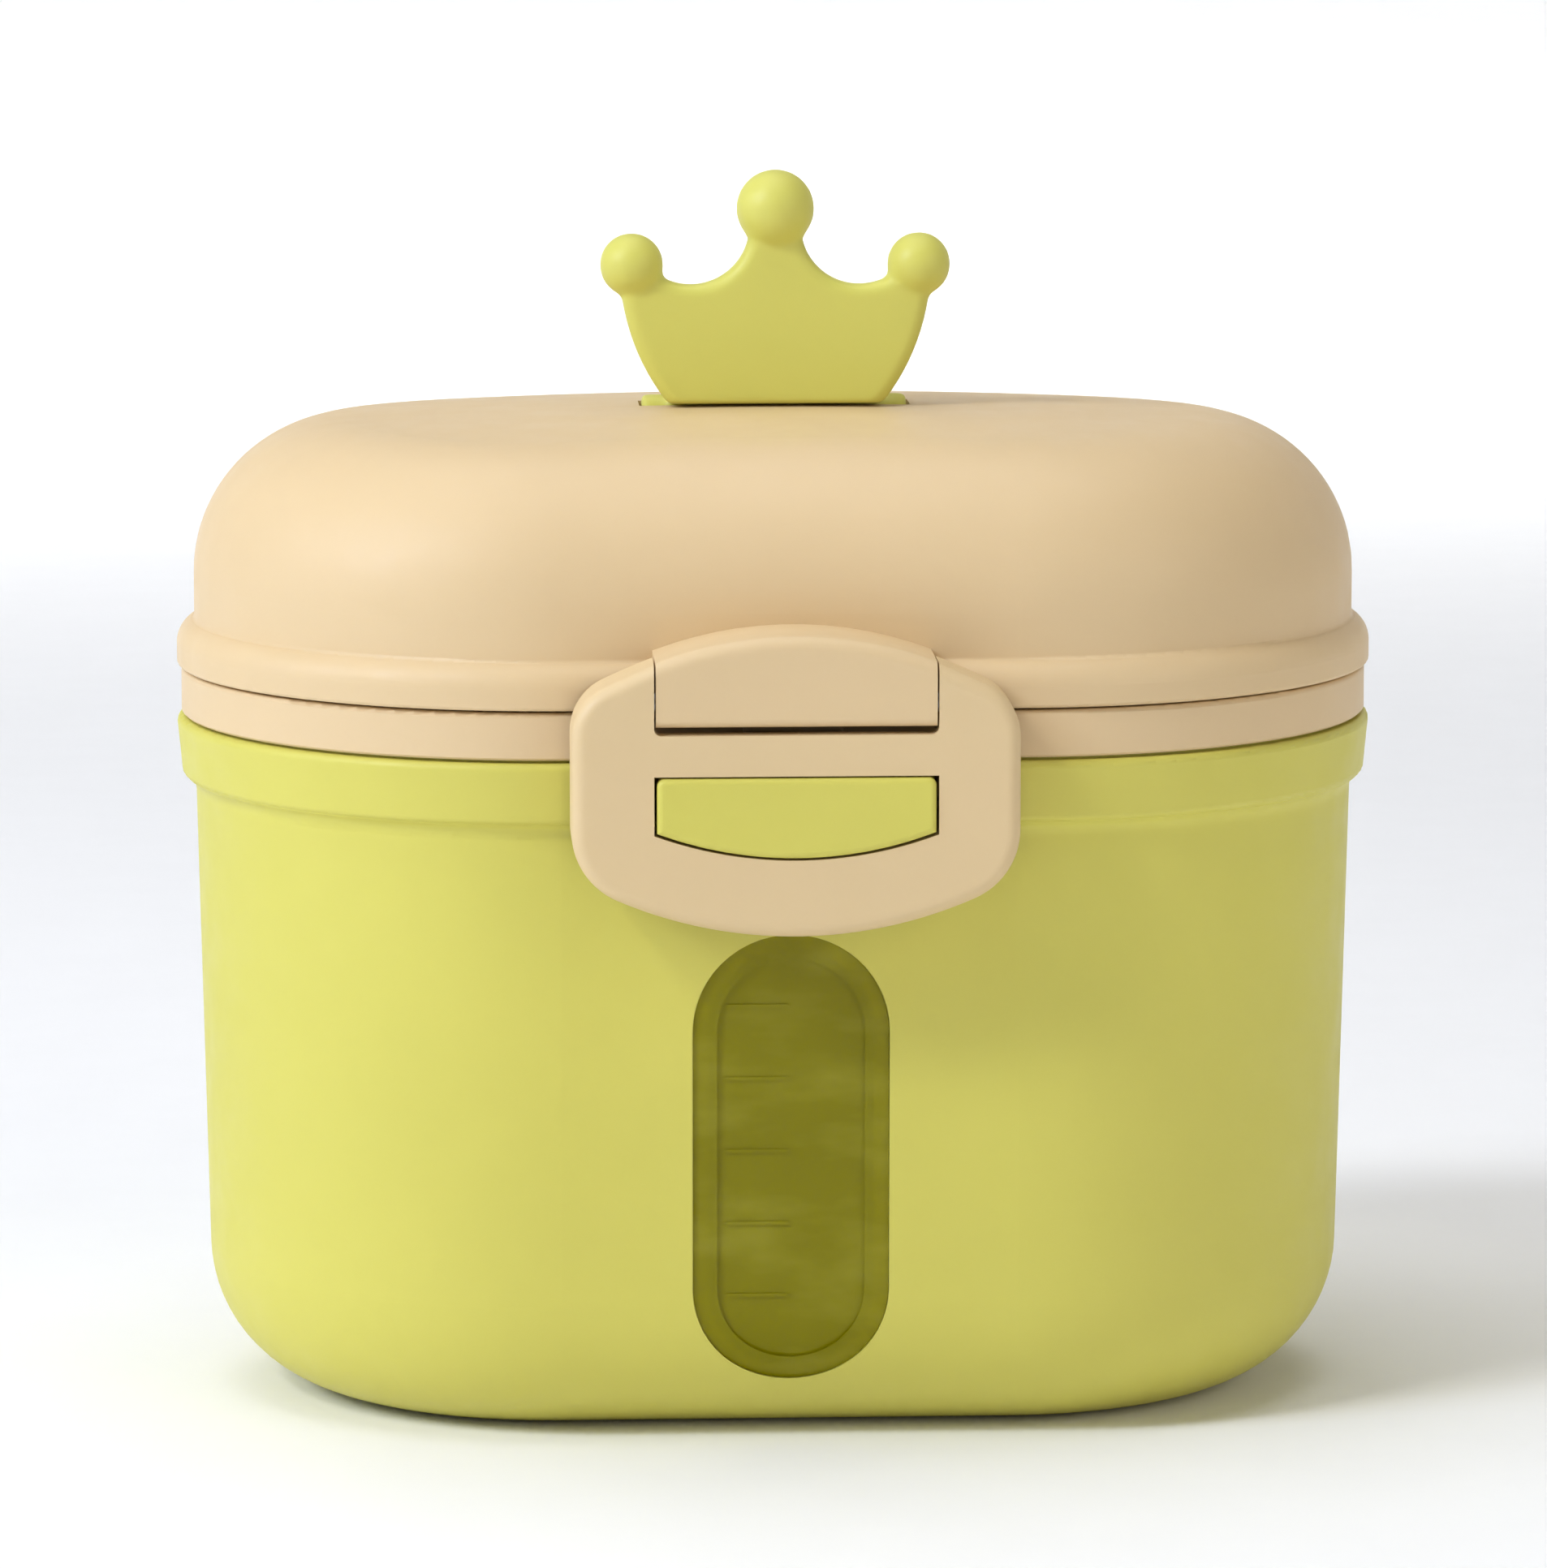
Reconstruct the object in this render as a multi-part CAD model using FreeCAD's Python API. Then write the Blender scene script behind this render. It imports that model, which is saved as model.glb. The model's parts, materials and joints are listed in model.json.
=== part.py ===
import FreeCAD, Part

import math
import os

# Formula dispenser: a stadium-shaped tub with a see-through window, a sealed inner cover that
# stores a measuring scoop, a domed outer lid with a folding crown, and a buckle latch.
# Millimetres. X runs along the length, -Y is the front with the latch, +Z is up.
# The origin is the middle of the flat bottom. The object is modelled closed and latched.

Vector = FreeCAD.Vector

# ---- Footprint: every level is a stadium, two half circles joined by straight sides ----
STRAIGHT_HALF = 26.0        # half the length of the straight sides

# ---- Tub ----
WALL = 1.8                  # wall and floor thickness
FLOOR_CORNER = 17.0         # outer radius between floor and wall
FLOOR_R = 23.6              # stadium radius where the flat bottom ends
DRAFT = math.radians(1.25)  # the wall leans outwards towards the top
FLANGE_LOW_Z = 72.5
FLANGE_TOP_Z = 79.6
FLANGE_R = 43.9
LIP_OUT_R = 42.3
NECK_R = 40.7
LIP_TOP_Z = 81.6
LEDGE_Z = 72.0              # step inside the neck that carries the leveller

# ---- Window ----
WINDOW_HALF_WIDTH = 11.2
WINDOW_LOW_Z = 7.4
WINDOW_TOP_Z = 59.6
WINDOW_BORDER = 1.7         # width of the step that the lens sits on
REBATE_DEPTH = 1.0
LENS_SET_BACK = 0.35        # the lens face lies this far below the wall's face
PANEL_BORDER = 2.8          # border around the lens's sunk panel
PANEL_SET_BACK = 0.75
TICK_LOW_Z = 17.7
TICK_STEP = 8.4
TICK_COUNT = 5

# ---- Catch on the tub's front ----
CATCH_HALF_WIDTH = 15.6
CATCH_FRONT_Y = -53.9
CATCH_TOP_Z = 79.3
CATCH_SIDE_Z = 73.1         # where the straight sides meet the bottom arc
CATCH_LOW_Z = 70.25

# ---- Rear hinge: tub, lid and inner cover share one pin ----
HINGE_Y = 48.2
HINGE_Z = 84.0
KNUCKLE_R = 3.2
PIN_R = 1.2
RUN = 0.06                  # radial running clearance on a pin
TUB_EAR = (21.2, 28.0)      # distance from the middle, inner and outer
LID_EAR = (13.2, 20.8)
COVER_EAR = (5.0, 12.8)

# ---- Inner cover ----
COVER_R = 43.4
COVER_LOW_Z = 79.95
COVER_TOP_Z = 85.3
PLATEAU_R = 38.2
PLATEAU_Z = 86.3
COVER_PLATE = 1.6
PLUG_R = 39.4
PLUG_LOW_Z = 77.8
LEVELLER_X = -34.0          # the leveller's straight edge

# ---- Scoop and its well ----
SCOOP_X = 19.0
WELL_R = 20.8
WELL_WALL = 1.2
WELL_FLANGE_R = 22.3
SCOOP_R = 19.0
SCOOP_WALL = 1.2
SCOOP_SEAT_Z = 87.2         # underside of the scoop's rim and handle
HANDLE_END_X = -52.0

# ---- Outer lid ----
LID_LOW_Z = 85.6
LID_FLANGE_R = 43.9
LID_WALL = 2.0
DOME_R = 41.85              # stadium radius of the dome's upright side
DOME_TOP_Z = 115.8
CROWNING_LONG_R = 876.0     # radius of the gently crowned top along the length
CROWNING_SHORT_R = 226.0    # and across it
SHOULDER_R = 18.2           # radius between top and side

# ---- Liner pressed into the lid ----
LINER_GAP = 0.15
LINER_WALL = 1.2
LINER_LOW_Z = 89.1
LINER_TOP_Z = 110.6         # top face of its ceiling, below the crown's hinge

# ---- Latch and the boss that carries it ----
BOSS_HALF_WIDTH = 15.7
BOSS_FRONT_Y = -53.3
BOSS_LOW_Z = 84.95
BOSS_SIDE_Z = 92.2
BOSS_TOP_Z = 95.1
LATCH_PIVOT_Y = -51.0
LATCH_PIVOT_Z = 87.5
LATCH_FRONT_Y = -53.45
LATCH_BACK_Y = -45.2
LATCH_HALF_WIDTH = 25.1
LATCH_GAP_HALF = 15.9       # half width between the arms and of the opening
LATCH_LOW_Z = 61.2
LATCH_LOW_R = 50.0          # radius of the wide bottom edge
LATCH_SHOULDER_Z = 87.8     # the side ends here, before it is rounded
LATCH_TOP_Z = 92.0          # the arms' highest point, beside the boss
CATCH_GAP = 0.25            # between the latch's opening and the catch
BAR_TOP_Z = 84.1
BAR_LOW_Z = 79.5
BAR_THICK = 2.9
ARM_SWING_R = 6.5           # the arms' tops stay inside this radius about the pivot

# ---- Crown ----
CROWN_FRONT_Y = -6.0
CROWN_BACK_Y = -2.0
CROWN_FOOT_Z = 116.05
CROWN_FOOT_HALF = 12.5
CROWN_BALL_Z = 138.7
CROWN_BALL_R = 4.55
CROWN_SIDE_BALL = (16.7, 132.2, 3.7)    # x, z and radius
CROWN_PIVOT_Z = 114.1
CROWN_VALLEY = (9.8, 129.9)             # lowest point between two balls, x and z
CROWN_EDGE_R = 1.2
CROWN_BARREL_R = 2.6
CROWN_BARREL_HALF = 15.5
CROWN_SLOT = (15.8, 2.9)                # half length and half width of the slot in the lid
CROWN_LUG = (15.9, 18.4)
CROWN_PIN_R = 0.8
CROWN_PIN_RUN = 0.05

FAR = 200.0                 # reach of cutting tools


# ---- Helpers ----
def section(start, *steps):
    """A closed face in the r-z half plane. A step is a point, or (middle, end) for an arc."""
    edges = []
    here = start
    last = steps[-1][1] if isinstance(steps[-1][0], tuple) else steps[-1]
    closing = () if math.dist(last, start) < 1e-6 else (start,)
    for step in steps + closing:
        a = Vector(here[0], 0, here[1])
        if isinstance(step[0], tuple):
            middle, end = step
            b = Vector(end[0], 0, end[1])
            edges.append(Part.Arc(a, Vector(middle[0], 0, middle[1]), b).toShape())
            here = end
        else:
            edges.append(Part.makeLine(a, Vector(step[0], 0, step[1])))
            here = step
    return Part.Face(Part.Wire(edges))


def arc_middle(centre, start, end):
    """The point halfway along the short arc from start to end about centre."""
    radius = math.dist(centre, start)
    x = (start[0] + end[0]) / 2 - centre[0]
    z = (start[1] + end[1]) / 2 - centre[1]
    scale = radius / math.hypot(x, z)
    return (centre[0] + x * scale, centre[1] + z * scale)


def around(face):
    """Sweep an r-z section around the stadium."""
    axis = Vector(0, 0, 1)
    origin = Vector(0, 0, 0)
    pieces = []
    for side in (1, -1):
        turned = face.copy()
        turned.rotate(origin, axis, -90 * side)
        end_cap = turned.revolve(origin, axis, 180)
        end_cap.translate(Vector(side * STRAIGHT_HALF, 0, 0))
        straight = turned.copy()
        straight.translate(Vector(-STRAIGHT_HALF, 0, 0))
        pieces.append(end_cap)
        pieces.append(straight.extrude(Vector(2 * STRAIGHT_HALF, 0, 0)))
    return one_solid(pieces[0].multiFuse(pieces[1:]))


def one_solid(shape):
    """The single solid of a boolean result, with split faces merged."""
    clean = shape.removeSplitter()
    if len(clean.Solids) != 1:
        raise ValueError("expected one solid, found %d" % len(clean.Solids))
    return clean.Solids[0]


def slab(radius, low, top):
    """A plain stadium plate."""
    return around(section((0, low), (radius, low), (radius, top), (0, top)))


def block(x, y, z):
    """A box from three (low, high) pairs."""
    return Part.makeBox(x[1] - x[0], y[1] - y[0], z[1] - z[0], Vector(x[0], y[0], z[0]))


def rod(radius, x, y, z):
    """A cylinder along X."""
    return Part.makeCylinder(radius, x[1] - x[0], Vector(x[0], y, z), Vector(1, 0, 0))


def upright_prism(start, steps, y):
    """An outline in the x-z plane, extruded along Y between the two values."""
    face = section(start, *steps)
    face.translate(Vector(0, y[0], 0))
    return face.extrude(Vector(0, y[1] - y[0], 0))


def side_prism(points, x):
    """A polygon in the y-z plane, extruded along X between the two values."""
    corners = [Vector(x[0], py, pz) for py, pz in points]
    face = Part.Face(Part.makePolygon(corners + corners[:1]))
    return face.extrude(Vector(x[1] - x[0], 0, 0))


def soften(solid, radius, picked):
    """Round the edges that picked(edge) accepts."""
    return solid.makeFillet(radius, [edge for edge in solid.Edges if picked(edge)])


def runs_along_y(edge, places):
    """True for a straight edge along Y at one of the (x, z) places."""
    box = edge.BoundBox
    if box.XLength > 0.01 or box.ZLength > 0.01:
        return False
    return any(math.dist((box.XMin, box.ZMin), place) < 0.1 for place in places)


def mirrored_pair(span):
    """The two x ranges at equal distances on either side of the middle."""
    return (span, (-span[1], -span[0]))


def stadium_prism(half_width, low, top, y):
    """An upright stadium outline extruded along Y."""
    w = half_width
    steps = (
        (w, top - w),
        ((0, top), (-w, top - w)),
        (-w, low + w),
        ((0, low), (w, low + w)),
    )
    return upright_prism((w, low + w), steps, y)


# ---- Tub ----
def wall_r(z, inset=0.0):
    """Stadium radius of the leaning wall at a height above the rounded corner."""
    foot = FLOOR_R + (FLOOR_CORNER - inset) * math.cos(DRAFT)
    foot_z = FLOOR_CORNER - (FLOOR_CORNER - inset) * math.sin(DRAFT)
    return foot + (z - foot_z) * math.tan(DRAFT)


def corner_points(inset):
    """Start, middle and end of the rounded corner between floor and wall."""
    centre = (FLOOR_R, FLOOR_CORNER)
    radius = FLOOR_CORNER - inset
    low = (FLOOR_R, inset)
    turn = math.pi / 4 + DRAFT / 2
    middle = (centre[0] + radius * math.sin(turn), centre[1] - radius * math.cos(turn))
    high = (centre[0] + radius * math.cos(DRAFT), centre[1] - radius * math.sin(DRAFT))
    return low, middle, high


def tub_plug(inset):
    """A solid bounded by the tub wall's face moved inwards by inset, up to under the flange."""
    low, middle, high = corner_points(inset)
    top = FLANGE_LOW_Z - 3
    return around(
        section((0, inset), low, (middle, high), (wall_r(top, inset), top), (0, top))
    )


def tub_shell():
    out_low, out_mid, out_high = corner_points(0)
    in_low, in_mid, in_high = corner_points(WALL)
    cove_z = FLANGE_LOW_Z - 1.9
    cove_r = wall_r(cove_z)
    return around(
        section(
            (0, 0),
            out_low,
            (out_mid, out_high),
            (cove_r, cove_z),
            ((cove_r + 0.35, cove_z + 1.25), (cove_r + 1.1, FLANGE_LOW_Z)),
            (FLANGE_R - 1.0, FLANGE_LOW_Z + 0.1),
            ((FLANGE_R - 0.65, FLANGE_LOW_Z + 0.4), (FLANGE_R - 0.5, FLANGE_LOW_Z + 0.9)),
            (FLANGE_R, FLANGE_TOP_Z - 0.9),
            ((FLANGE_R - 0.25, FLANGE_TOP_Z - 0.25), (FLANGE_R - 0.9, FLANGE_TOP_Z)),
            (LIP_OUT_R, FLANGE_TOP_Z),
            (LIP_OUT_R, LIP_TOP_Z - 0.5),
            ((LIP_OUT_R - 0.15, LIP_TOP_Z - 0.15), (LIP_OUT_R - 0.5, LIP_TOP_Z)),
            (NECK_R + 0.5, LIP_TOP_Z),
            ((NECK_R + 0.15, LIP_TOP_Z - 0.15), (NECK_R, LIP_TOP_Z - 0.5)),
            (NECK_R, LEDGE_Z),
            (wall_r(LEDGE_Z, WALL), LEDGE_Z),
            in_high,
            (in_mid, in_low),
            (0, WALL),
        )
    )


def catch_block():
    steps = (
        (CATCH_HALF_WIDTH, CATCH_TOP_Z),
        (-CATCH_HALF_WIDTH, CATCH_TOP_Z),
        (-CATCH_HALF_WIDTH, CATCH_SIDE_Z),
        ((0, CATCH_LOW_Z), (CATCH_HALF_WIDTH, CATCH_SIDE_Z)),
    )
    body = upright_prism((CATCH_HALF_WIDTH, CATCH_SIDE_Z), steps, (CATCH_FRONT_Y, -41.0))
    corners = ((CATCH_HALF_WIDTH, CATCH_TOP_Z), (-CATCH_HALF_WIDTH, CATCH_TOP_Z))
    body = soften(body, 0.9, lambda e: runs_along_y(e, corners))
    front = soften(body, 0.7, lambda e: e.BoundBox.YMax < CATCH_FRONT_Y + 0.01)
    slot_half = CATCH_HALF_WIDTH - 2.6
    slot = block((-slot_half, slot_half), (-46.4, -44.6), (CATCH_TOP_Z - 5.5, FAR))
    return front.cut(slot)


def tub_ear(x):
    """One of the two outer hinge ears, standing on the flange behind the mouth."""
    points = (
        (42.9, FLANGE_LOW_Z + 0.4),
        (HINGE_Y - 1.2, FLANGE_LOW_Z + 0.4),
        (HINGE_Y + KNUCKLE_R, HINGE_Z - 5.0),
        (HINGE_Y + KNUCKLE_R, HINGE_Z),
        (HINGE_Y - KNUCKLE_R, HINGE_Z),
        (HINGE_Y - KNUCKLE_R, FLANGE_TOP_Z - 0.4),
        (42.9, FLANGE_TOP_Z - 0.4),
    )
    return side_prism(points, x).fuse(rod(KNUCKLE_R, x, HINGE_Y, HINGE_Z))


def window_outline(border, y=(-60.0, -20.0)):
    """The window's stadium, smaller all round by border."""
    return stadium_prism(
        WINDOW_HALF_WIDTH - border, WINDOW_LOW_Z + border, WINDOW_TOP_Z - border, y
    )


def make_tub():
    tub = tub_shell()
    tub = tub.fuse(catch_block())
    for span in mirrored_pair(TUB_EAR):
        tub = tub.fuse(tub_ear(span))
    tub = tub.cut(rod(PIN_R, (-FAR, FAR), HINGE_Y, HINGE_Z))
    tub = tub.cut(window_outline(WINDOW_BORDER))
    tub = tub.cut(window_outline(0.0).cut(tub_plug(REBATE_DEPTH)))
    return one_solid(tub)


def make_window_lens():
    """A clear pane that follows the wall, stepped behind its border, with level marks."""
    gap = 0.08
    pane = tub_plug(LENS_SET_BACK).cut(tub_plug(REBATE_DEPTH)).common(window_outline(gap))
    middle = tub_plug(LENS_SET_BACK).cut(tub_plug(WALL))
    middle = middle.common(window_outline(WINDOW_BORDER + gap))
    lens = pane.fuse(middle)
    lens = lens.cut(window_outline(PANEL_BORDER).cut(tub_plug(PANEL_SET_BACK)))
    face = tub_plug(PANEL_SET_BACK - 0.2).cut(tub_plug(PANEL_SET_BACK + 0.2))
    for i in range(TICK_COUNT):
        z = TICK_LOW_Z + i * TICK_STEP
        tick = block((-7.3, -0.3), (-60.0, -30.0), (z - 0.2, z + 0.2)).common(face)
        lens = lens.fuse(tick)
    return one_solid(lens)


# ---- Leveller: a D-shaped insert that wipes the heaped scoop flat ----
def make_leveller():
    outer_r = NECK_R - 0.15
    top = LIP_TOP_Z - 0.6
    plate_low = top - 3.6
    plate = slab(outer_r, plate_low, top)
    skirt = slab(outer_r, LEDGE_Z + 0.02, plate_low).cut(slab(outer_r - 1.5, 0, FAR))
    dish = around(
        section(
            (0, top - 1.0),
            (outer_r - 2.6, top - 1.0),
            ((outer_r - 1.9, top - 0.75), (outer_r - 1.4, top)),
            (outer_r - 1.4, top + 1),
            (0, top + 1),
        )
    )
    keep_left = block((-FAR, LEVELLER_X), (-FAR, FAR), (0, FAR))
    left_of_edge = block((-FAR, LEVELLER_X - 0.01), (-FAR, FAR), (0, FAR))
    body = plate.cut(dish.common(left_of_edge)).fuse(skirt).common(keep_left)
    # A wide scraping hollow along the straight edge: a leaning cylinder cut.
    hollow_r = 225.0
    lean = math.radians(11)
    axis = Vector(-math.cos(lean), 0, math.sin(lean))
    start = Vector(LEVELLER_X, 0, top - 2.2 + hollow_r) - axis * 20
    body = body.cut(Part.makeCylinder(hollow_r, 80, start, axis))
    return one_solid(body)


# ---- Inner cover ----
def cover_ear(x):
    points = (
        (42.6, HINGE_Z - 2.2),
        (HINGE_Y, HINGE_Z - KNUCKLE_R),
        (HINGE_Y, HINGE_Z + 1.1),
        (42.6, HINGE_Z + 1.1),
    )
    return side_prism(points, x).fuse(rod(KNUCKLE_R, x, HINGE_Y, HINGE_Z))


def make_inner_cover():
    skirt_in = LIP_OUT_R + 0.25
    plate_low = COVER_TOP_Z - COVER_PLATE
    cover = around(
        section(
            (0, PLATEAU_Z - COVER_PLATE),
            (PLUG_R, PLATEAU_Z - COVER_PLATE),
            (PLUG_R, LIP_TOP_Z + 0.3),
            (PLUG_R + 0.8, LIP_TOP_Z + 0.3),
            (PLUG_R + 0.8, plate_low),
            (skirt_in, plate_low),
            (skirt_in, COVER_LOW_Z),
            (COVER_R - 0.25, COVER_LOW_Z),
            (COVER_R, COVER_LOW_Z + 0.25),
            (COVER_R, COVER_TOP_Z - 0.5),
            ((COVER_R - 0.15, COVER_TOP_Z - 0.15), (COVER_R - 0.5, COVER_TOP_Z)),
            (PLATEAU_R + 0.6, COVER_TOP_Z),
            (PLATEAU_R, PLATEAU_Z),
            (0, PLATEAU_Z),
        )
    )
    # The plug reaches into the mouth, and is cut away over the leveller.
    plug = slab(PLUG_R, PLUG_LOW_Z, plate_low + 1.2).cut(slab(PLUG_R - 1.3, 0, FAR))
    plug = plug.common(block((LEVELLER_X + 2.0, FAR), (-FAR, FAR), (0, FAR)))
    cover = cover.fuse(plug)
    for span in mirrored_pair(COVER_EAR):
        cover = cover.fuse(cover_ear(span))
    # The skirt is cut back near the hinge so that it clears the lip as the cover swings.
    behind = block((-FAR, FAR), (26.0, 44.0), (0, LIP_TOP_Z + 0.25))
    cover = cover.cut(behind.cut(slab(40.5, 0, FAR)))
    grip = block((-5.6, 5.6), (-COVER_R - 1.9, -COVER_R + 0.7), (COVER_TOP_Z - 2.0, COVER_TOP_Z - 0.4))
    grip = soften(grip, 0.6, lambda e: e.BoundBox.YMax < -COVER_R - 1.8)
    cover = cover.fuse(grip)
    cover = cover.cut(rod(PIN_R + RUN, (-FAR, FAR), HINGE_Y, HINGE_Z))
    well_hole = Part.makeCylinder(WELL_R + 0.15, 10, Vector(SCOOP_X, 0, PLATEAU_Z - 5))
    return one_solid(cover.cut(well_hole))


def make_cover_seal():
    """A silicone ring under the cover's rim that presses on the tub's lip."""
    in_r = PLUG_R + 0.85
    out_r = LIP_OUT_R + 0.2
    top = COVER_TOP_Z - COVER_PLATE - 0.02
    low = LIP_TOP_Z + 0.03
    middle = (in_r + out_r) / 2
    return around(
        section(
            (in_r, low + 0.5),
            ((middle, low), (out_r, low + 0.5)),
            (out_r, top),
            (in_r, top),
        )
    )


def hollow_bowl(radius, wall, centre_z, rim_r, rim):
    """A half-round bowl standing at the scoop's place, with a flat rim from low to high."""
    centre = Vector(SCOOP_X, 0, centre_z)
    ball = Part.makeSphere(radius, centre)
    low_half = block((-FAR, FAR), (-FAR, FAR), (0, rim[1]))
    disc = Part.makeCylinder(rim_r, rim[1] - rim[0], Vector(SCOOP_X, 0, rim[0]))
    mouth = Part.makeCylinder(radius - wall, 30, centre)
    bowl = ball.common(low_half).fuse(disc)
    return bowl.cut(Part.makeSphere(radius - wall, centre).fuse(mouth))


def make_scoop_well():
    rim = (PLATEAU_Z + 0.02, PLATEAU_Z + 0.85)
    return one_solid(hollow_bowl(WELL_R, WELL_WALL, PLATEAU_Z, WELL_FLANGE_R, rim))


def make_scoop():
    rim = (SCOOP_SEAT_Z, SCOOP_SEAT_Z + 1.2)
    bowl = hollow_bowl(SCOOP_R, SCOOP_WALL, SCOOP_SEAT_Z, SCOOP_R + 1.4, rim)
    neck_x = SCOOP_X - SCOOP_R - 0.5
    half_neck = 4.6
    half_end = 6.4
    end_z = SCOOP_SEAT_Z + 2.0
    corners = (
        (neck_x + 2, -half_neck),
        (HANDLE_END_X + half_end, -half_end),
        (HANDLE_END_X + half_end, half_end),
        (neck_x + 2, half_neck),
    )
    outline = Part.makePolygon([Vector(x, y, SCOOP_SEAT_Z) for x, y in corners + corners[:1]])
    handle = Part.Face(outline).extrude(Vector(0, 0, end_z - SCOOP_SEAT_Z))
    end_at = Vector(HANDLE_END_X + half_end, 0, SCOOP_SEAT_Z)
    handle = handle.fuse(Part.makeCylinder(half_end, end_z - SCOOP_SEAT_Z, end_at))
    thumb_rest = block((HANDLE_END_X + 14, neck_x - 4), (-2.6, 2.6), (SCOOP_SEAT_Z + 1.2, FAR))
    mouth = Part.makeCylinder(SCOOP_R - SCOOP_WALL, 30, Vector(SCOOP_X, 0, SCOOP_SEAT_Z - 1))
    hang_hole = Part.makeCylinder(2.6, 30, end_at - Vector(0, 0, 10))
    handle = handle.cut(thumb_rest).cut(mouth).cut(hang_hole)
    ball = Part.makeSphere(SCOOP_R - SCOOP_WALL, Vector(SCOOP_X, 0, SCOOP_SEAT_Z))
    return one_solid(bowl.fuse(handle.cut(ball)))


# ---- Outer lid ----
def crowned_block(inset, low):
    """The dome as a solid, with its face moved inwards by inset, standing on the level low."""
    top = DOME_TOP_Z - inset
    long_r = CROWNING_LONG_R - inset
    short_r = CROWNING_SHORT_R - inset
    half = 50.0
    edge_z = top - short_r + math.sqrt(short_r ** 2 - half ** 2)
    low_left = Vector(0, -half, 40)
    low_right = Vector(0, half, 40)
    high_right = Vector(0, half, edge_z)
    high_left = Vector(0, -half, edge_z)
    outline = Part.Wire([
        Part.makeLine(low_left, low_right),
        Part.makeLine(low_right, high_right),
        Part.Arc(high_right, Vector(0, 0, top), high_left).toShape(),
        Part.makeLine(high_left, low_left),
    ])
    across = Vector(0, 1, 0)
    deep_centre = Vector(0, 0, top - long_r)
    face = Part.Face(outline)
    face.rotate(deep_centre, across, -6)
    crowned = face.revolve(deep_centre, across, 12)
    dome = one_solid(crowned.common(slab(DOME_R - inset, low, FAR)))
    return soften(dome, SHOULDER_R - inset, lambda e: e.BoundBox.ZMin > 100)


def lid_shell():
    low = LID_LOW_Z
    in_r = DOME_R - LID_WALL
    bead_r = in_r - 0.45
    collar = around(
        section(
            (in_r, low + 8),
            (DOME_R, low + 8),
            (DOME_R, low + 5.6),
            ((DOME_R + 0.1, low + 5.3), (DOME_R + 0.4, low + 5.15)),
            ((LID_FLANGE_R - 0.5, low + 4.1), (LID_FLANGE_R, low + 2.4)),
            (LID_FLANGE_R, low + 0.4),
            ((LID_FLANGE_R - 0.12, low + 0.12), (LID_FLANGE_R - 0.4, low)),
            (LID_FLANGE_R - 1.6, low),
            (LID_FLANGE_R - 1.9, low + 0.5),
            (bead_r + 1.5, low + 0.5),
            ((bead_r + 0.75, low), (bead_r, low + 0.75)),
            (bead_r, low + 2.2),
            (in_r, low + 3.4),
        )
    )
    shell = crowned_block(0, low + 7).cut(crowned_block(LID_WALL, low))
    return one_solid(shell.fuse(collar))


def latch_boss():
    w = BOSS_HALF_WIDTH
    steps = (
        (w, BOSS_SIDE_Z),
        ((0, BOSS_TOP_Z), (-w, BOSS_SIDE_Z)),
        (-w, BOSS_LOW_Z),
    )
    body = upright_prism((w, BOSS_LOW_Z), steps, (BOSS_FRONT_Y, -40.6))
    at_front = BOSS_FRONT_Y + 0.01
    body = soften(body, 1.5, lambda e: e.BoundBox.YMax < at_front and e.BoundBox.ZMax > BOSS_SIDE_Z + 1)
    body = soften(body, 1.0, lambda e: e.BoundBox.YMax < at_front and e.BoundBox.ZMax < BOSS_LOW_Z + 0.1)
    cavity = block((-13.6, 13.6), (-49.2, -40.0), (BOSS_LOW_Z - 1, 91.0))
    over_cover = block((-w - 1, w + 1), (-LID_FLANGE_R - 0.3, -40.0), (BOSS_LOW_Z - 1, LID_LOW_Z))
    return body.cut(cavity).cut(over_cover)


def lid_ear(x):
    points = (
        (42.4, LID_LOW_Z + 0.4),
        (HINGE_Y - 2.6, LID_LOW_Z + 0.1),
        (HINGE_Y, HINGE_Z),
        (HINGE_Y + 1.0, HINGE_Z + 3.0),
        (HINGE_Y - 1.5, LID_LOW_Z + 3.3),
        (42.4, LID_LOW_Z + 4.6),
    )
    return side_prism(points, x).fuse(rod(KNUCKLE_R, x, HINGE_Y, HINGE_Z))


def make_outer_lid():
    lid = lid_shell()
    lid = lid.fuse(latch_boss().cut(crowned_block(LID_WALL, LID_LOW_Z - 5)))
    for span in mirrored_pair(LID_EAR):
        lid = lid.fuse(lid_ear(span))
    lid = lid.cut(rod(PIN_R + RUN, (-FAR, FAR), HINGE_Y, HINGE_Z))
    lid = lid.cut(rod(PIN_R, (-30, 30), LATCH_PIVOT_Y, LATCH_PIVOT_Z))
    for span in mirrored_pair(CROWN_LUG):
        lug = block(span, (-2.3, 2.3), (CROWN_PIVOT_Z - 2.0, DOME_TOP_Z - 1.0))
        lid = lid.fuse(lug)
    half_x, half_y = CROWN_SLOT
    lid = lid.cut(block((-half_x, half_x), (-half_y, half_y), (CROWN_PIVOT_Z - 8, FAR)))
    pin_half = CROWN_LUG[1] - 0.1
    return one_solid(lid.cut(rod(CROWN_PIN_R, (-pin_half, pin_half), 0, CROWN_PIVOT_Z)))


def make_lid_liner():
    """A thin smooth shell pressed into the lid; it hides the crown's hinge."""
    inset = LID_WALL + LINER_GAP
    outside = crowned_block(inset, LINER_LOW_Z).common(slab(60, 0, LINER_TOP_Z))
    inset += LINER_WALL
    inside = crowned_block(inset, LINER_LOW_Z - 5).common(slab(60, 0, LINER_TOP_Z - LINER_WALL))
    return one_solid(outside.cut(inside))


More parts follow.
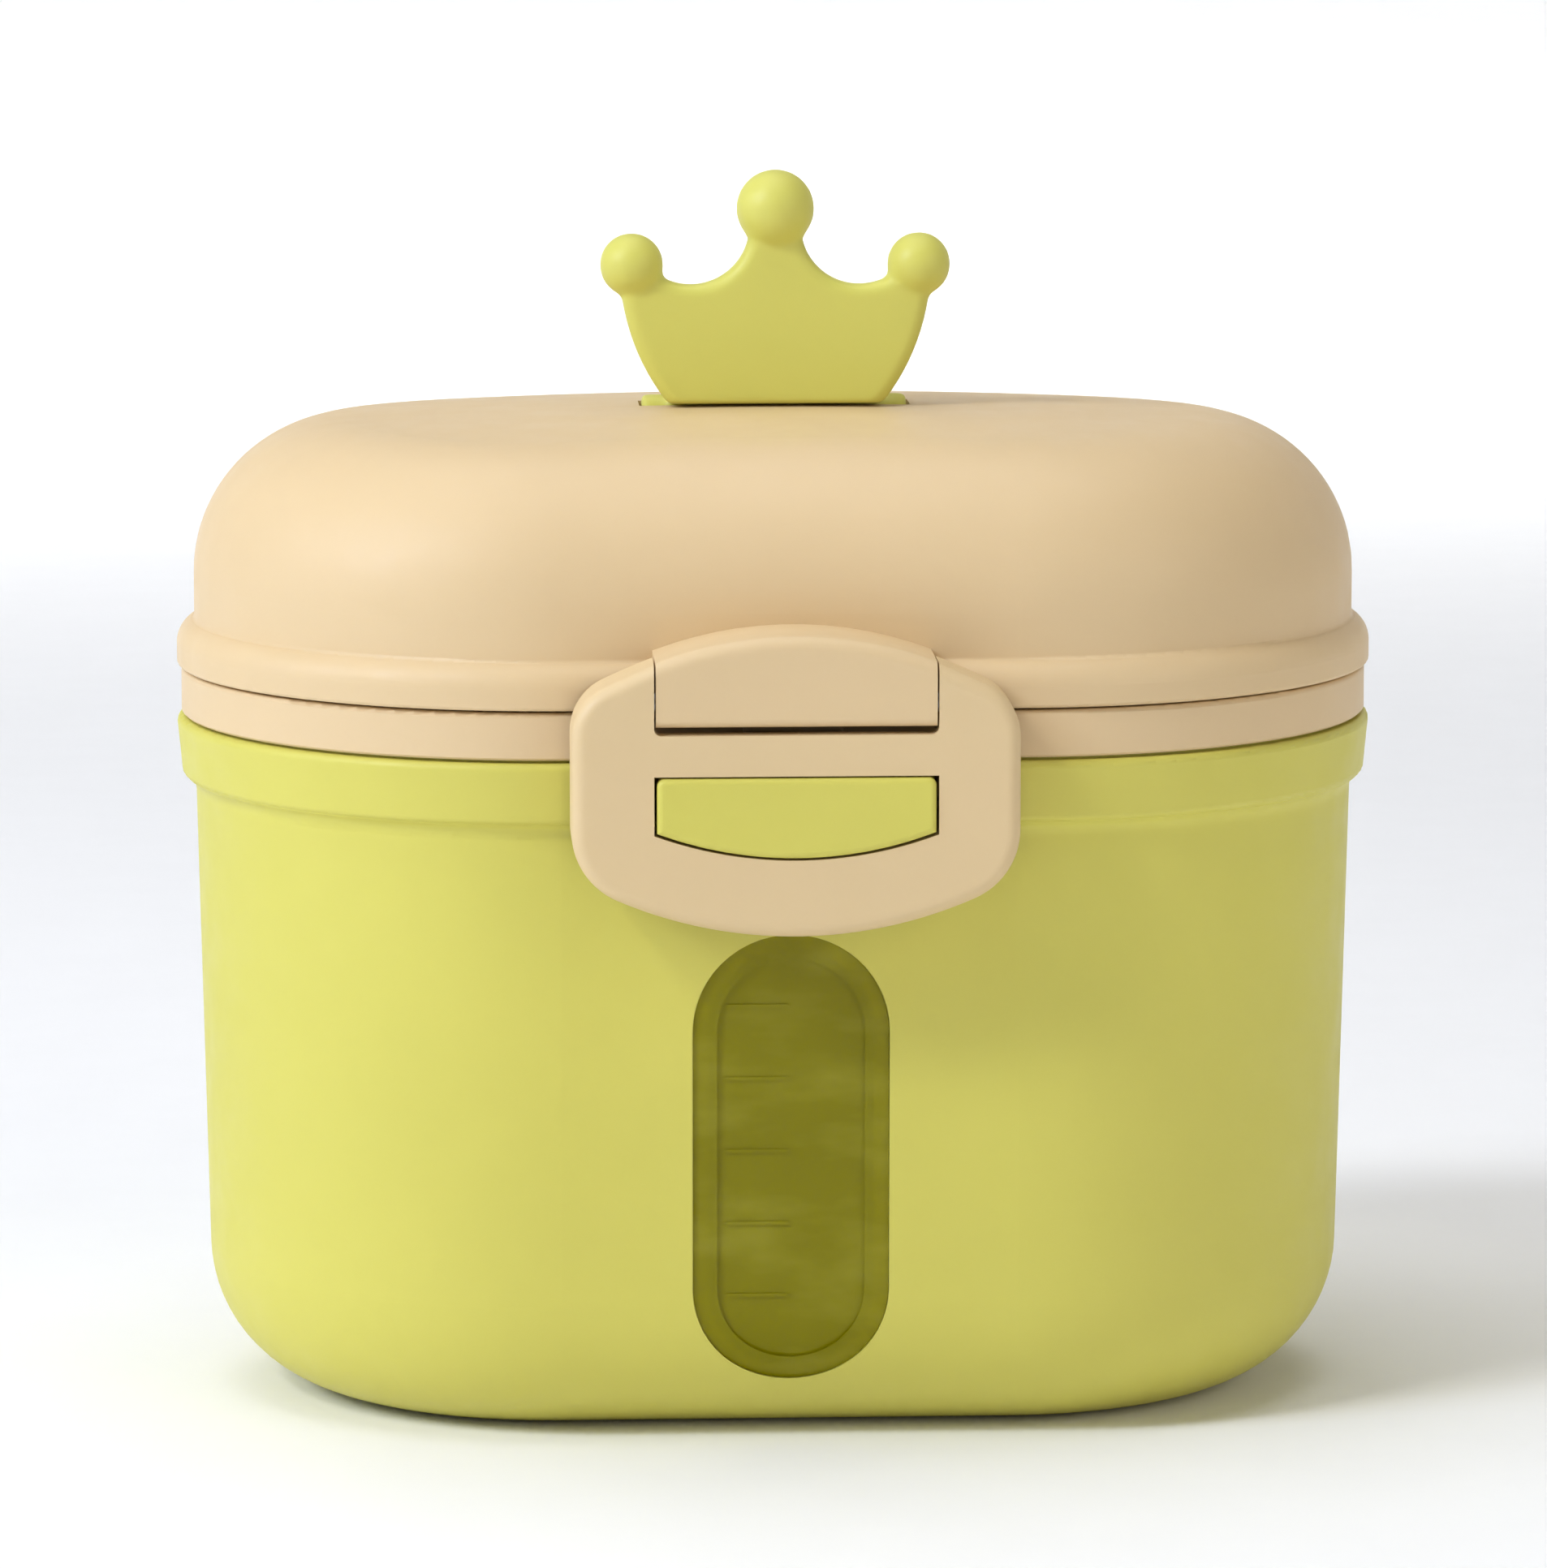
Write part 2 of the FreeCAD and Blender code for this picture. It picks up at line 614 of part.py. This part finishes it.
# ---- Latch ----
def make_latch():
    w = LATCH_HALF_WIDTH
    side_low_z = LATCH_LOW_Z + LATCH_LOW_R - math.sqrt(LATCH_LOW_R ** 2 - w ** 2)
    steps = (
        (w, LATCH_SHOULDER_Z),
        (LATCH_GAP_HALF, LATCH_TOP_Z),
        (-LATCH_GAP_HALF, LATCH_TOP_Z),
        (-w, LATCH_SHOULDER_Z),
        (-w, side_low_z),
        ((0, LATCH_LOW_Z), (w, side_low_z)),
    )
    body = upright_prism((w, side_low_z), steps, (LATCH_FRONT_Y, LATCH_BACK_Y))

    body = soften(body, 8.5, lambda e: runs_along_y(e, ((w, side_low_z), (-w, side_low_z))))
    upper = ((w, LATCH_SHOULDER_Z), (-w, LATCH_SHOULDER_Z))
    body = soften(body, 6.5, lambda e: runs_along_y(e, upper))
    body = soften(body, 1.5, lambda e: e.BoundBox.YMax < LATCH_FRONT_Y + 0.01)

    gap = LATCH_GAP_HALF
    over_bar = block((-gap, gap), (-60, -40), (BAR_TOP_Z, FAR))
    over_bar = soften(over_bar, 0.8, lambda e: runs_along_y(e, ((gap, BAR_TOP_Z), (-gap, BAR_TOP_Z))))
    behind_bar = block((-gap, gap), (LATCH_FRONT_Y + BAR_THICK, -40), (BAR_LOW_Z - 0.5, FAR))
    side_z = CATCH_SIDE_Z - CATCH_GAP
    opening_steps = (
        (gap, BAR_LOW_Z),
        (-gap, BAR_LOW_Z),
        (-gap, side_z),
        ((0, CATCH_LOW_Z - CATCH_GAP), (gap, side_z)),
    )
    opening = upright_prism((gap, side_z), opening_steps, (-60, -40))
    body = body.cut(over_bar).cut(behind_bar).cut(opening)

    swing = rod(ARM_SWING_R, (-40, 40), LATCH_PIVOT_Y, LATCH_PIVOT_Z)
    above = block((-40, 40), (LATCH_PIVOT_Y, -30), (LATCH_PIVOT_Z, FAR)).cut(swing)
    bore = rod(PIN_R + RUN, (-22.3, 22.3), LATCH_PIVOT_Y, LATCH_PIVOT_Z)
    return one_solid(body.cut(above).cut(bore))


# ---- Crown ----
def crown_outline():
    """The right half of the crown's outline from foot to tip, as steps."""
    ball_x, ball_z, ball_r = CROWN_SIDE_BALL
    valley = CROWN_VALLEY
    shoulder = (13.9, ball_z - 1.0)
    neck = (3.1, 135.5)
    return (
        (CROWN_FOOT_HALF, CROWN_FOOT_Z),
        ((16.0, 121.9), (17.9, ball_z - 3.3)),
        (ball_x, ball_z),
        shoulder,
        (valley_middle(valley, shoulder), valley),
        (valley_middle(valley, neck), neck),
        (2.6, CROWN_BALL_Z),
    )


def valley_middle(valley, end):
    """Halfway along the arc that leaves the valley level and ends at end."""
    across = end[0] - valley[0]
    rise = end[1] - valley[1]
    radius = (across ** 2 + rise ** 2) / (2 * rise)
    return arc_middle((valley[0], valley[1] + radius), valley, end)


def walked_back(start, steps):
    """The same steps on the other side of the middle, from the tip back to the start."""
    points = [start]
    for step in steps:
        points.append(step[1] if isinstance(step[0], tuple) else step)
    back = [(-points[-1][0], points[-1][1])]
    for i in range(len(steps) - 1, -1, -1):
        end = (-points[i][0], points[i][1])
        if isinstance(steps[i][0], tuple):
            back.append(((-steps[i][0][0], steps[i][0][1]), end))
        else:
            back.append(end)
    return tuple(back)


def round_edge_on_face(edge, levels):
    """True for a circular edge that lies flat at one of the y levels."""
    box = edge.BoundBox
    flat = box.YLength < 0.01 and any(abs(box.YMin - y) < 0.01 for y in levels)
    return flat and edge.Curve.TypeId == "Part::GeomCircle"


def make_crown():
    start = (0, CROWN_FOOT_Z)
    steps = crown_outline()
    outline = steps + walked_back(start, steps)
    crown = upright_prism(start, outline, (CROWN_FRONT_Y, CROWN_BACK_Y))
    faces = (CROWN_FRONT_Y, CROWN_BACK_Y)
    crown = soften(crown, CROWN_EDGE_R, lambda e: round_edge_on_face(e, faces))
    middle_y = (CROWN_FRONT_Y + CROWN_BACK_Y) / 2
    ball_x, ball_z, ball_r = CROWN_SIDE_BALL
    balls = ((0, CROWN_BALL_Z, CROWN_BALL_R), (ball_x, ball_z, ball_r), (-ball_x, ball_z, ball_r))
    for x, z, r in balls:
        crown = crown.fuse(Part.makeSphere(r, Vector(x, middle_y, z)))
    web = (
        (CROWN_BACK_Y - 0.6, CROWN_FOOT_Z),
        (CROWN_BACK_Y - 0.6, CROWN_FOOT_Z + 1.5),
        (CROWN_BACK_Y, CROWN_FOOT_Z + 1.0),
        (-1.2, CROWN_FOOT_Z + 0.3),
        (0, CROWN_PIVOT_Z),
        (-1.9, CROWN_FOOT_Z - 0.3),
    )
    half = CROWN_FOOT_HALF - 0.8
    crown = crown.fuse(side_prism(web, (-half, half)))
    span = (-CROWN_BARREL_HALF, CROWN_BARREL_HALF)
    crown = crown.fuse(rod(CROWN_BARREL_R, span, 0, CROWN_PIVOT_Z))
    bore = rod(CROWN_PIN_R + CROWN_PIN_RUN, (-FAR, FAR), 0, CROWN_PIVOT_Z)
    return one_solid(crown.cut(bore))


# ---- Pins ----
def make_pin(radius, half_length, y, z):
    pin = rod(radius, (-half_length, half_length), y, z)
    return soften(pin, radius * 0.3, lambda e: e.BoundBox.XLength < 0.01)


PARTS = {
    "tub": make_tub,
    "window_lens": make_window_lens,
    "leveller": make_leveller,
    "inner_cover": make_inner_cover,
    "cover_seal": make_cover_seal,
    "scoop_well": make_scoop_well,
    "scoop": make_scoop,
    "outer_lid": make_outer_lid,
    "lid_liner": make_lid_liner,
    "latch": make_latch,
    "latch_pin": lambda: make_pin(PIN_R, 22.0, LATCH_PIVOT_Y, LATCH_PIVOT_Z),
    "hinge_pin": lambda: make_pin(PIN_R, 28.4, HINGE_Y, HINGE_Z),
    "crown": make_crown,
    "crown_pin": lambda: make_pin(CROWN_PIN_R, CROWN_LUG[1] - 0.2, 0, CROWN_PIVOT_Z),
}

os.makedirs("parts", exist_ok=True)
for name, make in PARTS.items():
    shape = make()
    shape.exportStep("parts/%s.step" % name)
    print(name, "valid" if shape.isValid() else "INVALID", round(shape.Volume, 1))
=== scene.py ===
import json
import math

import bpy
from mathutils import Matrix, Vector


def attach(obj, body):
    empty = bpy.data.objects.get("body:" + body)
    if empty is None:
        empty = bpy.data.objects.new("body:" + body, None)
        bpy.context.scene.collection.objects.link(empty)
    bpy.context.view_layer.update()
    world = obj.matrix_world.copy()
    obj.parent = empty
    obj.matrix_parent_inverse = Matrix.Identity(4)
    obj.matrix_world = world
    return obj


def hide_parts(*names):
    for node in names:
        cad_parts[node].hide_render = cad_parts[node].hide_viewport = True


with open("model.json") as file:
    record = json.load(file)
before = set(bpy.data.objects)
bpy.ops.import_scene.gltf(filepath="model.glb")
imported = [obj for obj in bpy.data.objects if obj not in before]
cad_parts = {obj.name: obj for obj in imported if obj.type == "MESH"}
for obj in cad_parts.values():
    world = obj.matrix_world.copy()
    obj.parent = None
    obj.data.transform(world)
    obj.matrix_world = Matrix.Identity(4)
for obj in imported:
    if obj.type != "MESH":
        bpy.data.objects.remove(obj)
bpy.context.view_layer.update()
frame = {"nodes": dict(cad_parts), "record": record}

NODES = frame["nodes"]
SLOT_OF = {part["node"]: part["material_slot"] for part in frame["record"]["subparts"]}

# Lengths are in metres, light energies in watts.
MM = 0.001
SHARP_ANGLE = math.radians(32)   # edges that turn further than this stay sharp
CROWN_VOXEL = 0.4 * MM
CROWN_ROUNDS = 8                 # smoothing rounds that soften the crown's edges
PLASTIC_IOR = 1.49
WINDOW_IOR = 1.27                # low, so that the pane mirrors little of the room


# ---------------------------------------------------------------- colours
def srgb(red, green, blue):
    """A colour given as 0-255 display values, in linear light."""
    out = []
    for value in (red, green, blue):
        c = value / 255.0
        out.append(c / 12.92 if c <= 0.04045 else ((c + 0.055) / 1.055) ** 2.4)
    return (*out, 1.0)


def shaded(colour, factor):
    """The same colour, darker by the factor."""
    return tuple(c * factor for c in colour[:3]) + (1.0,)


GREEN = srgb(215, 208, 97)
CROWN_GREEN = srgb(216, 212, 103)
CREAM = srgb(225, 198, 153)
LATCH_CREAM = srgb(224, 198, 152)
LINER_CREAM = srgb(214, 190, 150)
COVER_CREAM = srgb(226, 199, 155)
LEVELLER_CREAM = srgb(229, 203, 162)
WINDOW_TINT = srgb(188, 180, 12)
WINDOW_FILM = srgb(214, 208, 66)
WELL_TINT = srgb(236, 219, 184)
SCOOP_TINT = srgb(242, 231, 206)
SEAL_WHITE = srgb(236, 232, 220)
STEEL_BRIGHT = srgb(196, 196, 198)
STEEL_DULL = srgb(150, 150, 153)
PAPER = srgb(252, 252, 252)
PAPER_FIBRE = srgb(250, 250, 250)
WHITE = (1.0, 1.0, 1.0)
COOL = (0.90, 1.0, 1.22)
WARM = (1.11, 1.0, 0.82)


# ---------------------------------------------------------------- node helpers
# The mix node repeats its socket names for each kind of data, so its colour sockets go by number.
MIX_FACTOR = 0
MIX_FIRST = 6
MIX_SECOND = 7
MIX_RESULT = 2


def new_material(name):
    material = bpy.data.materials.new(name)
    material.use_nodes = True
    tree = material.node_tree
    tree.nodes.clear()
    output = tree.nodes.new("ShaderNodeOutputMaterial")
    shader = tree.nodes.new("ShaderNodeBsdfPrincipled")
    tree.links.new(shader.outputs["BSDF"], output.inputs["Surface"])
    return material, tree, shader


def object_coordinates(tree):
    return tree.nodes.new("ShaderNodeTexCoord").outputs["Object"]


def stretched(tree, coordinates, scale):
    """Coordinates scaled by axis, so that a noise pattern lies along the axes left at 1."""
    node = tree.nodes.new("ShaderNodeMapping")
    node.inputs["Scale"].default_value = scale
    tree.links.new(coordinates, node.inputs["Vector"])
    return node.outputs["Vector"]


def noise(tree, coordinates, per_metre, detail, roughness=0.55):
    node = tree.nodes.new("ShaderNodeTexNoise")
    node.inputs["Scale"].default_value = per_metre
    node.inputs["Detail"].default_value = detail
    node.inputs["Roughness"].default_value = roughness
    tree.links.new(coordinates, node.inputs["Vector"])
    return node.outputs["Fac"]


def spread(tree, value, low, high, from_low=0.3, from_high=0.7):
    """Maps a noise value to the range low..high."""
    node = tree.nodes.new("ShaderNodeMapRange")
    node.inputs["From Min"].default_value = from_low
    node.inputs["From Max"].default_value = from_high
    node.inputs["To Min"].default_value = low
    node.inputs["To Max"].default_value = high
    tree.links.new(value, node.inputs["Value"])
    return node.outputs["Result"]


def blend_colours(tree, value, first, second):
    """Blends two colours, each a plain colour or a socket that carries one."""
    node = tree.nodes.new("ShaderNodeMix")
    node.data_type = "RGBA"
    for number, colour in ((MIX_FIRST, first), (MIX_SECOND, second)):
        if isinstance(colour, bpy.types.NodeSocket):
            tree.links.new(colour, node.inputs[number])
        else:
            node.inputs[number].default_value = colour
    tree.links.new(value, node.inputs[MIX_FACTOR])
    return node.outputs[MIX_RESULT]


def bump(tree, height, strength, distance, below=None):
    node = tree.nodes.new("ShaderNodeBump")
    node.inputs["Strength"].default_value = strength
    node.inputs["Distance"].default_value = distance
    tree.links.new(height, node.inputs["Height"])
    if below is not None:
        tree.links.new(below, node.inputs["Normal"])
    return node.outputs["Normal"]


# ---------------------------------------------------------------- materials
def moulded_plastic(name, colour, shade=0.94, rough=(0.42, 0.54), grain=0.10, glow=0.0):
    """Satin moulded plastic: fine spark-eroded grain, slight flow clouding, soft gloss."""
    material, tree, shader = new_material(name)
    place = object_coordinates(tree)
    clouds = spread(tree, noise(tree, place, per_metre=22, detail=4.0), 0.0, 1.0)
    base = blend_colours(tree, clouds, colour, shaded(colour, shade))
    tree.links.new(base, shader.inputs["Base Color"])
    mottled = noise(tree, place, per_metre=180, detail=2.0)
    tree.links.new(spread(tree, mottled, *rough), shader.inputs["Roughness"])
    shader.inputs["IOR"].default_value = PLASTIC_IOR
    shader.inputs["Specular IOR Level"].default_value = 0.42
    shader.inputs["Subsurface Weight"].default_value = glow
    shader.inputs["Subsurface Radius"].default_value = (2.5 * MM, 1.8 * MM, 0.8 * MM)
    eroded = noise(tree, place, per_metre=3600, detail=2.0)
    fine = bump(tree, eroded, grain, distance=0.04 * MM)
    flow = noise(tree, place, per_metre=90, detail=2.0)
    waves = bump(tree, flow, strength=0.12, distance=0.10 * MM, below=fine)
    tree.links.new(waves, shader.inputs["Normal"])
    return material


def clear_plastic(name, colour, rough, transmission, ior=PLASTIC_IOR, film=None):
    """See-through plastic, slightly frosted. A film is dust that lies in level streaks."""
    material, tree, shader = new_material(name)
    place = object_coordinates(tree)
    clouds = spread(tree, noise(tree, place, per_metre=45, detail=4.0), 0.0, 1.0)
    base = blend_colours(tree, clouds, colour, shaded(colour, 0.90))
    if film is not None:
        level = stretched(tree, place, (1.0, 1.0, 2.4))
        dust = noise(tree, level, per_metre=70, detail=3.0)
        streaks = spread(tree, dust, 0.0, 0.7, from_low=0.48, from_high=0.74)
        base = blend_colours(tree, streaks, base, film)
    tree.links.new(base, shader.inputs["Base Color"])
    frost = noise(tree, place, per_metre=140, detail=3.0)
    tree.links.new(spread(tree, frost, *rough), shader.inputs["Roughness"])
    shader.inputs["IOR"].default_value = ior
    shader.inputs["Transmission Weight"].default_value = transmission
    skin = noise(tree, place, per_metre=900, detail=2.0)
    fine = bump(tree, skin, strength=0.10, distance=0.05 * MM)
    tree.links.new(fine, shader.inputs["Normal"])
    return material


def silicone(name, colour):
    """Soft matt rubber with a little dust in its surface."""
    material, tree, shader = new_material(name)
    place = object_coordinates(tree)
    dust = spread(tree, noise(tree, place, per_metre=260, detail=5.0), 0.0, 1.0)
    base = blend_colours(tree, dust, colour, shaded(colour, 0.90))
    tree.links.new(base, shader.inputs["Base Color"])
    matt = spread(tree, dust, 0.62, 0.80, from_low=0.0, from_high=1.0)
    tree.links.new(matt, shader.inputs["Roughness"])
    shader.inputs["Subsurface Weight"].default_value = 0.1
    shader.inputs["Subsurface Radius"].default_value = (2.0 * MM, 1.8 * MM, 1.5 * MM)
    skin = noise(tree, place, per_metre=2200, detail=3.0)
    fine = bump(tree, skin, strength=0.15, distance=0.05 * MM)
    tree.links.new(fine, shader.inputs["Normal"])
    return material


def drawn_steel(name):
    """Ground pin stock with fine marks around its length, which runs along X."""
    material, tree, shader = new_material(name)
    around = stretched(tree, object_coordinates(tree), (9.0, 1.0, 1.0))
    marks = noise(tree, around, per_metre=700, detail=4.0)
    shine = blend_colours(tree, spread(tree, marks, 0.0, 1.0), STEEL_BRIGHT, STEEL_DULL)
    tree.links.new(shine, shader.inputs["Base Color"])
    shader.inputs["Metallic"].default_value = 1.0
    tree.links.new(spread(tree, marks, 0.26, 0.42), shader.inputs["Roughness"])
    fine = bump(tree, marks, strength=0.2, distance=0.02 * MM)
    tree.links.new(fine, shader.inputs["Normal"])
    return material


def paper(name):
    """Matt white studio paper."""
    material, tree, shader = new_material(name)
    place = object_coordinates(tree)
    fibres = spread(tree, noise(tree, place, per_metre=60, detail=3.0), 0.0, 1.0)
    base = blend_colours(tree, fibres, PAPER, PAPER_FIBRE)
    tree.links.new(base, shader.inputs["Base Color"])
    shader.inputs["Roughness"].default_value = 0.9
    shader.inputs["Specular IOR Level"].default_value = 0.1
    return material


MATERIALS = {
    "tub_green": moulded_plastic("tub_plastic", GREEN, glow=0.06),
    "crown_green": moulded_plastic("crown_plastic", CROWN_GREEN, grain=0.05, glow=0.08),
    "lid_cream": moulded_plastic("lid_plastic", CREAM, shade=0.96, glow=0.06),
    "latch_cream": moulded_plastic("latch_plastic", LATCH_CREAM, shade=0.97, glow=0.05),
    "liner_cream": moulded_plastic("liner_plastic", LINER_CREAM, rough=(0.34, 0.46)),
    "cover_cream": moulded_plastic("cover_plastic", COVER_CREAM, shade=0.97, glow=0.05),
    "leveller_cream": moulded_plastic("leveller_plastic", LEVELLER_CREAM, rough=(0.30, 0.42)),
    "window_clear": clear_plastic(
        "window_plastic",
        WINDOW_TINT,
        rough=(0.10, 0.20),
        transmission=0.6,
        ior=WINDOW_IOR,
        film=WINDOW_FILM,
    ),
    "well_frosted": clear_plastic(
        "well_plastic", WELL_TINT, rough=(0.38, 0.52), transmission=0.38
    ),
    "scoop_frosted": clear_plastic(
        "scoop_plastic", SCOOP_TINT, rough=(0.34, 0.48), transmission=0.26
    ),
    "seal_silicone": silicone("seal_silicone", SEAL_WHITE),
    "pin_steel": drawn_steel("pin_steel"),
}


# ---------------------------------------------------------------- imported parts
def smooth(mesh):
    mesh.polygons.foreach_set("use_smooth", [True] * len(mesh.polygons))


def dress(obj, slot):
    obj.data.materials.clear()
    obj.data.materials.append(MATERIALS[slot])


for node_name, node in NODES.items():
    smooth(node.data)
    node.data.set_sharp_from_angle(angle=SHARP_ANGLE)
    dress(node, SLOT_OF[node_name])


# ---------------------------------------------------------------- crown
def soft_copy(node_name, piece_name, body, voxel, rounds):
    """A rounded copy of a CAD piece: remeshed evenly, then relaxed at its edges."""
    obj = bpy.data.objects.new(piece_name, NODES[node_name].data.copy())
    bpy.context.scene.collection.objects.link(obj)
    remesh = obj.modifiers.new("even_mesh", "REMESH")
    remesh.mode = "VOXEL"
    remesh.voxel_size = voxel
    relax = obj.modifiers.new("rounding", "SMOOTH")
    relax.factor = 0.5
    relax.iterations = rounds
    depsgraph = bpy.context.evaluated_depsgraph_get()
    final = bpy.data.meshes.new_from_object(obj.evaluated_get(depsgraph))
    obj.modifiers.clear()
    obj.data = final
    final.name = piece_name
    smooth(final)
    dress(obj, SLOT_OF[node_name])
    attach(obj, body)
    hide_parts(node_name)


soft_copy("crown", "crown_rounded", "crown", CROWN_VOXEL, CROWN_ROUNDS)


# ---------------------------------------------------------------- stage
FLAT_RADIUS = 2.4      # level floor
BEND_RADIUS = 0.9      # round of the floor into the wall
WALL_TOP = 3.2
INNER_RADIUS = 0.5     # first ring of the mesh around its centre
BEND_STEPS = 12
AROUND_STEPS = 96


def studio():
    """A round pale floor that curves up into a wall far away, so every view has one backdrop."""
    profile = [(INNER_RADIUS, 0.0), (FLAT_RADIUS, 0.0)]
    for i in range(1, BEND_STEPS + 1):
        turn = math.pi / 2 * i / BEND_STEPS
        radius = FLAT_RADIUS + BEND_RADIUS * math.sin(turn)
        profile.append((radius, BEND_RADIUS * (1 - math.cos(turn))))
    profile.append((FLAT_RADIUS + BEND_RADIUS, WALL_TOP))
    verts = [(0.0, 0.0, 0.0)]
    for radius, z in profile:
        for k in range(AROUND_STEPS):
            angle = 2 * math.pi * k / AROUND_STEPS
            verts.append((radius * math.cos(angle), radius * math.sin(angle), z))
    faces = []
    for k in range(AROUND_STEPS):
        following = (k + 1) % AROUND_STEPS
        faces.append((0, 1 + k, 1 + following))
        for ring in range(len(profile) - 1):
            low = 1 + ring * AROUND_STEPS
            high = low + AROUND_STEPS
            faces.append((low + k, high + k, high + following, low + following))
    mesh = bpy.data.meshes.new("backdrop")
    mesh.from_pydata(verts, [], faces)
    smooth(mesh)
    mesh.materials.append(paper("studio_paper"))
    floor = bpy.data.objects.new("backdrop", mesh)
    bpy.context.scene.collection.objects.link(floor)


def turned_to(direction):
    """The rotation that points a light or a camera along the direction."""
    return direction.to_track_quat("-Z", "Y").to_euler()


def soft_box(name, place, target, width, height, watts, colour=WHITE, fan=math.pi):
    """A rectangular area light. The fan is the full angle it shines into."""
    data = bpy.data.lights.new(name, "AREA")
    data.shape = "RECTANGLE"
    data.size = width
    data.size_y = height
    data.energy = watts
    data.color = colour
    data.spread = fan
    light = bpy.data.objects.new(name, data)
    light.location = place
    light.rotation_euler = turned_to(Vector(target) - Vector(place))
    bpy.context.scene.collection.objects.link(light)


def world_light(strength):
    world = bpy.data.worlds.new("studio_air")
    world.use_nodes = True
    background = world.node_tree.nodes["Background"]
    background.inputs["Color"].default_value = (*WHITE, 1.0)
    background.inputs["Strength"].default_value = strength
    bpy.context.scene.world = world


BOX_MIDDLE = (0.0, 0.0, 0.07)
WALL_FOOT = (0.0, 1.8, 0.1)
BEHIND_FAN = math.radians(80)    # keeps the light behind off the object

bpy.context.scene.view_settings.view_transform = "Standard"
studio()
soft_box("left", (-1.96, -0.10, 0.78), BOX_MIDDLE, width=0.9, height=1.1, watts=5.6, colour=COOL)
soft_box("window", (-1.36, -0.71, 1.01), BOX_MIDDLE, width=0.4, height=0.4, watts=10.6, colour=COOL)
soft_box("key", (-1.00, -0.82, 1.28), BOX_MIDDLE, width=0.26, height=0.26, watts=7.6)
soft_box("top", (-0.17, 0.12, 1.82), BOX_MIDDLE, width=1.7, height=1.7, watts=17.6)
soft_box("right", (1.95, -1.73, 1.09), BOX_MIDDLE, width=1.5, height=1.5, watts=10.2, colour=WARM)
soft_box("behind", (0.0, 0.75, 1.5), WALL_FOOT, width=2.4, height=0.7, watts=15.0, fan=BEHIND_FAN)
world_light(0.03)


# ---------------------------------------------------------------- camera
def camera(azimuth, elevation, distance, target, focal):
    """Looks at the target from the photograph's side, with the angles in degrees."""
    az = math.radians(azimuth)
    el = math.radians(elevation)
    back = Vector((math.sin(az) * math.cos(el), -math.cos(az) * math.cos(el), math.sin(el)))
    data = bpy.data.cameras.new("photo_camera")
    data.lens = focal
    data.sensor_width = 36.0
    data.clip_start = 0.01
    data.clip_end = 50.0
    obj = bpy.data.objects.new("photo_camera", data)
    obj.location = Vector(target) + back * distance
    obj.rotation_euler = turned_to(-back)
    bpy.context.scene.collection.objects.link(obj)
    bpy.context.scene.camera = obj


CAMERA_TARGET = (0.0, 0.0, 0.0705)
camera(azimuth=-2.8, elevation=8.7, distance=1.0, target=CAMERA_TARGET, focal=195.0)
